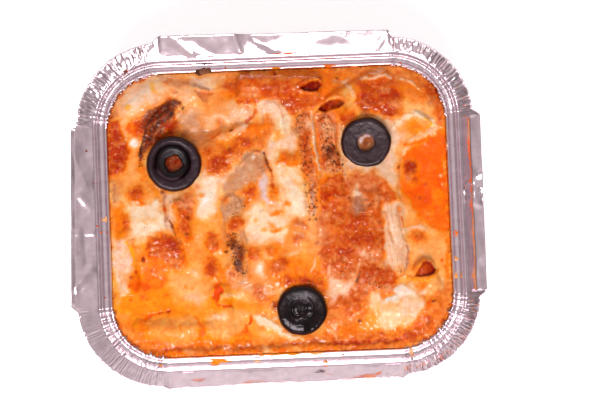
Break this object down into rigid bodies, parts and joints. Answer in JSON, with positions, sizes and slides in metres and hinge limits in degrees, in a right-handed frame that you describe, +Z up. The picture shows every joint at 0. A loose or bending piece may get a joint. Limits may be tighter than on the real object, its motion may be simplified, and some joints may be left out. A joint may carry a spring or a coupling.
{
  "type": "foil tray meal",
  "caption": "Baked penne with browned cheese, chicken strips and black olive slices, in a small open foil tray with a pleated rim and bent-out flaps.",
  "frame": {"origin": "on the floor, in the middle of the tray's outline with its flaps", "axes": "+X to the meal's right, along the tray's longer side; +Y to its back; +Z up out of the tray"},
  "size_m": [0.1536, 0.1307, 0.0416],
  "materials": {
    "foil": "bright wrinkled foil",
    "bake": "melted cheese and sauce, browned, moist",
    "chicken": "roast chicken under cheese and pepper",
    "olive": "black olive, wet"
  },
  "bodies": {
    "root": {"foil_tray": "foil", "pasta_bake": "bake", "chicken_strip_charred": "chicken", "chicken_strip_left": "chicken", "chicken_strip_pale": "chicken", "chicken_strip_peppered": "chicken", "chicken_strip_centre": "chicken", "chicken_strip_seared": "chicken", "chicken_strip_grilled": "chicken", "chicken_strip_crusted": "chicken", "chicken_strip_right": "chicken", "olive_slice_left": "olive", "olive_slice_right": "olive", "olive_slice_front": "olive"}
  },
  "joints": []
}
